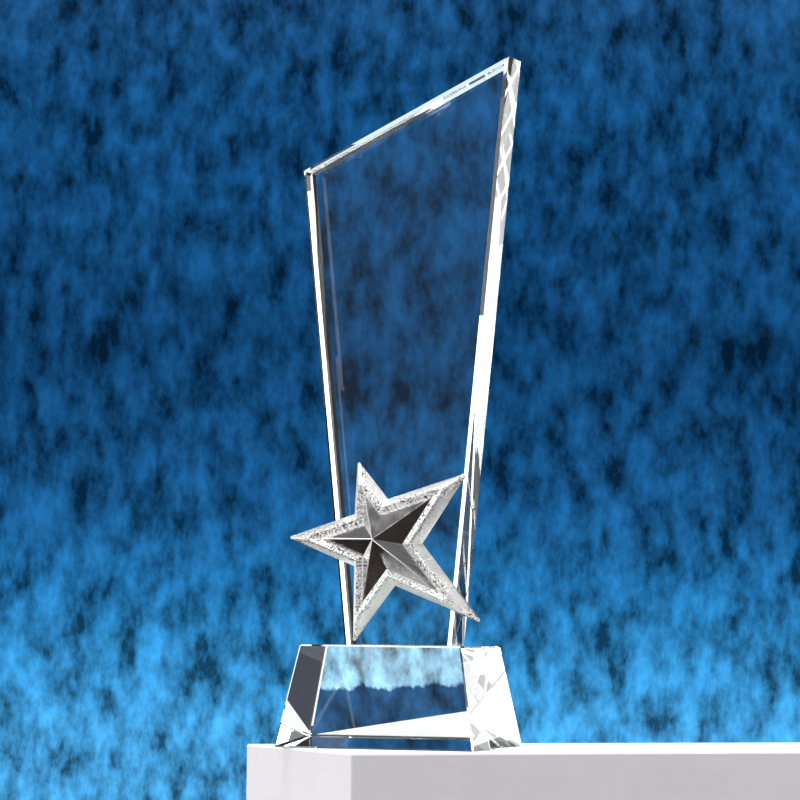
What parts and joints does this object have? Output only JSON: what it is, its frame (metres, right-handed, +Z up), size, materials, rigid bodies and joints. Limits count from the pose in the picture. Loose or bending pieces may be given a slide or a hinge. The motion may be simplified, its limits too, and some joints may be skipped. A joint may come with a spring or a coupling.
{
  "type": "star trophy",
  "caption": "Upright clear crystal award: a slant-topped blade on a block with sloping sides, with a cast metal star bonded to its lower front.",
  "frame": {"origin": "middle of the underside of the base, which rests on z = 0", "axes": "+Z up, -Y the front that carries the star, +X to the right as seen from the front"},
  "size_m": [0.0877, 0.0634, 0.27],
  "materials": {
    "crystal": "ground and polished optical crystal, colourless with a faint green in its depth",
    "clear_bond": "clear cured adhesive",
    "star_metal": "nickel-chrome plated zinc casting: mirror-polished facets and outer wall, granular crest"
  },
  "bodies": {
    "root": {"crystal_base": "crystal", "crystal_plaque": "crystal", "plaque_bond": "clear_bond", "star_glue": "clear_bond", "star_casting": "star_metal"}
  },
  "joints": []
}
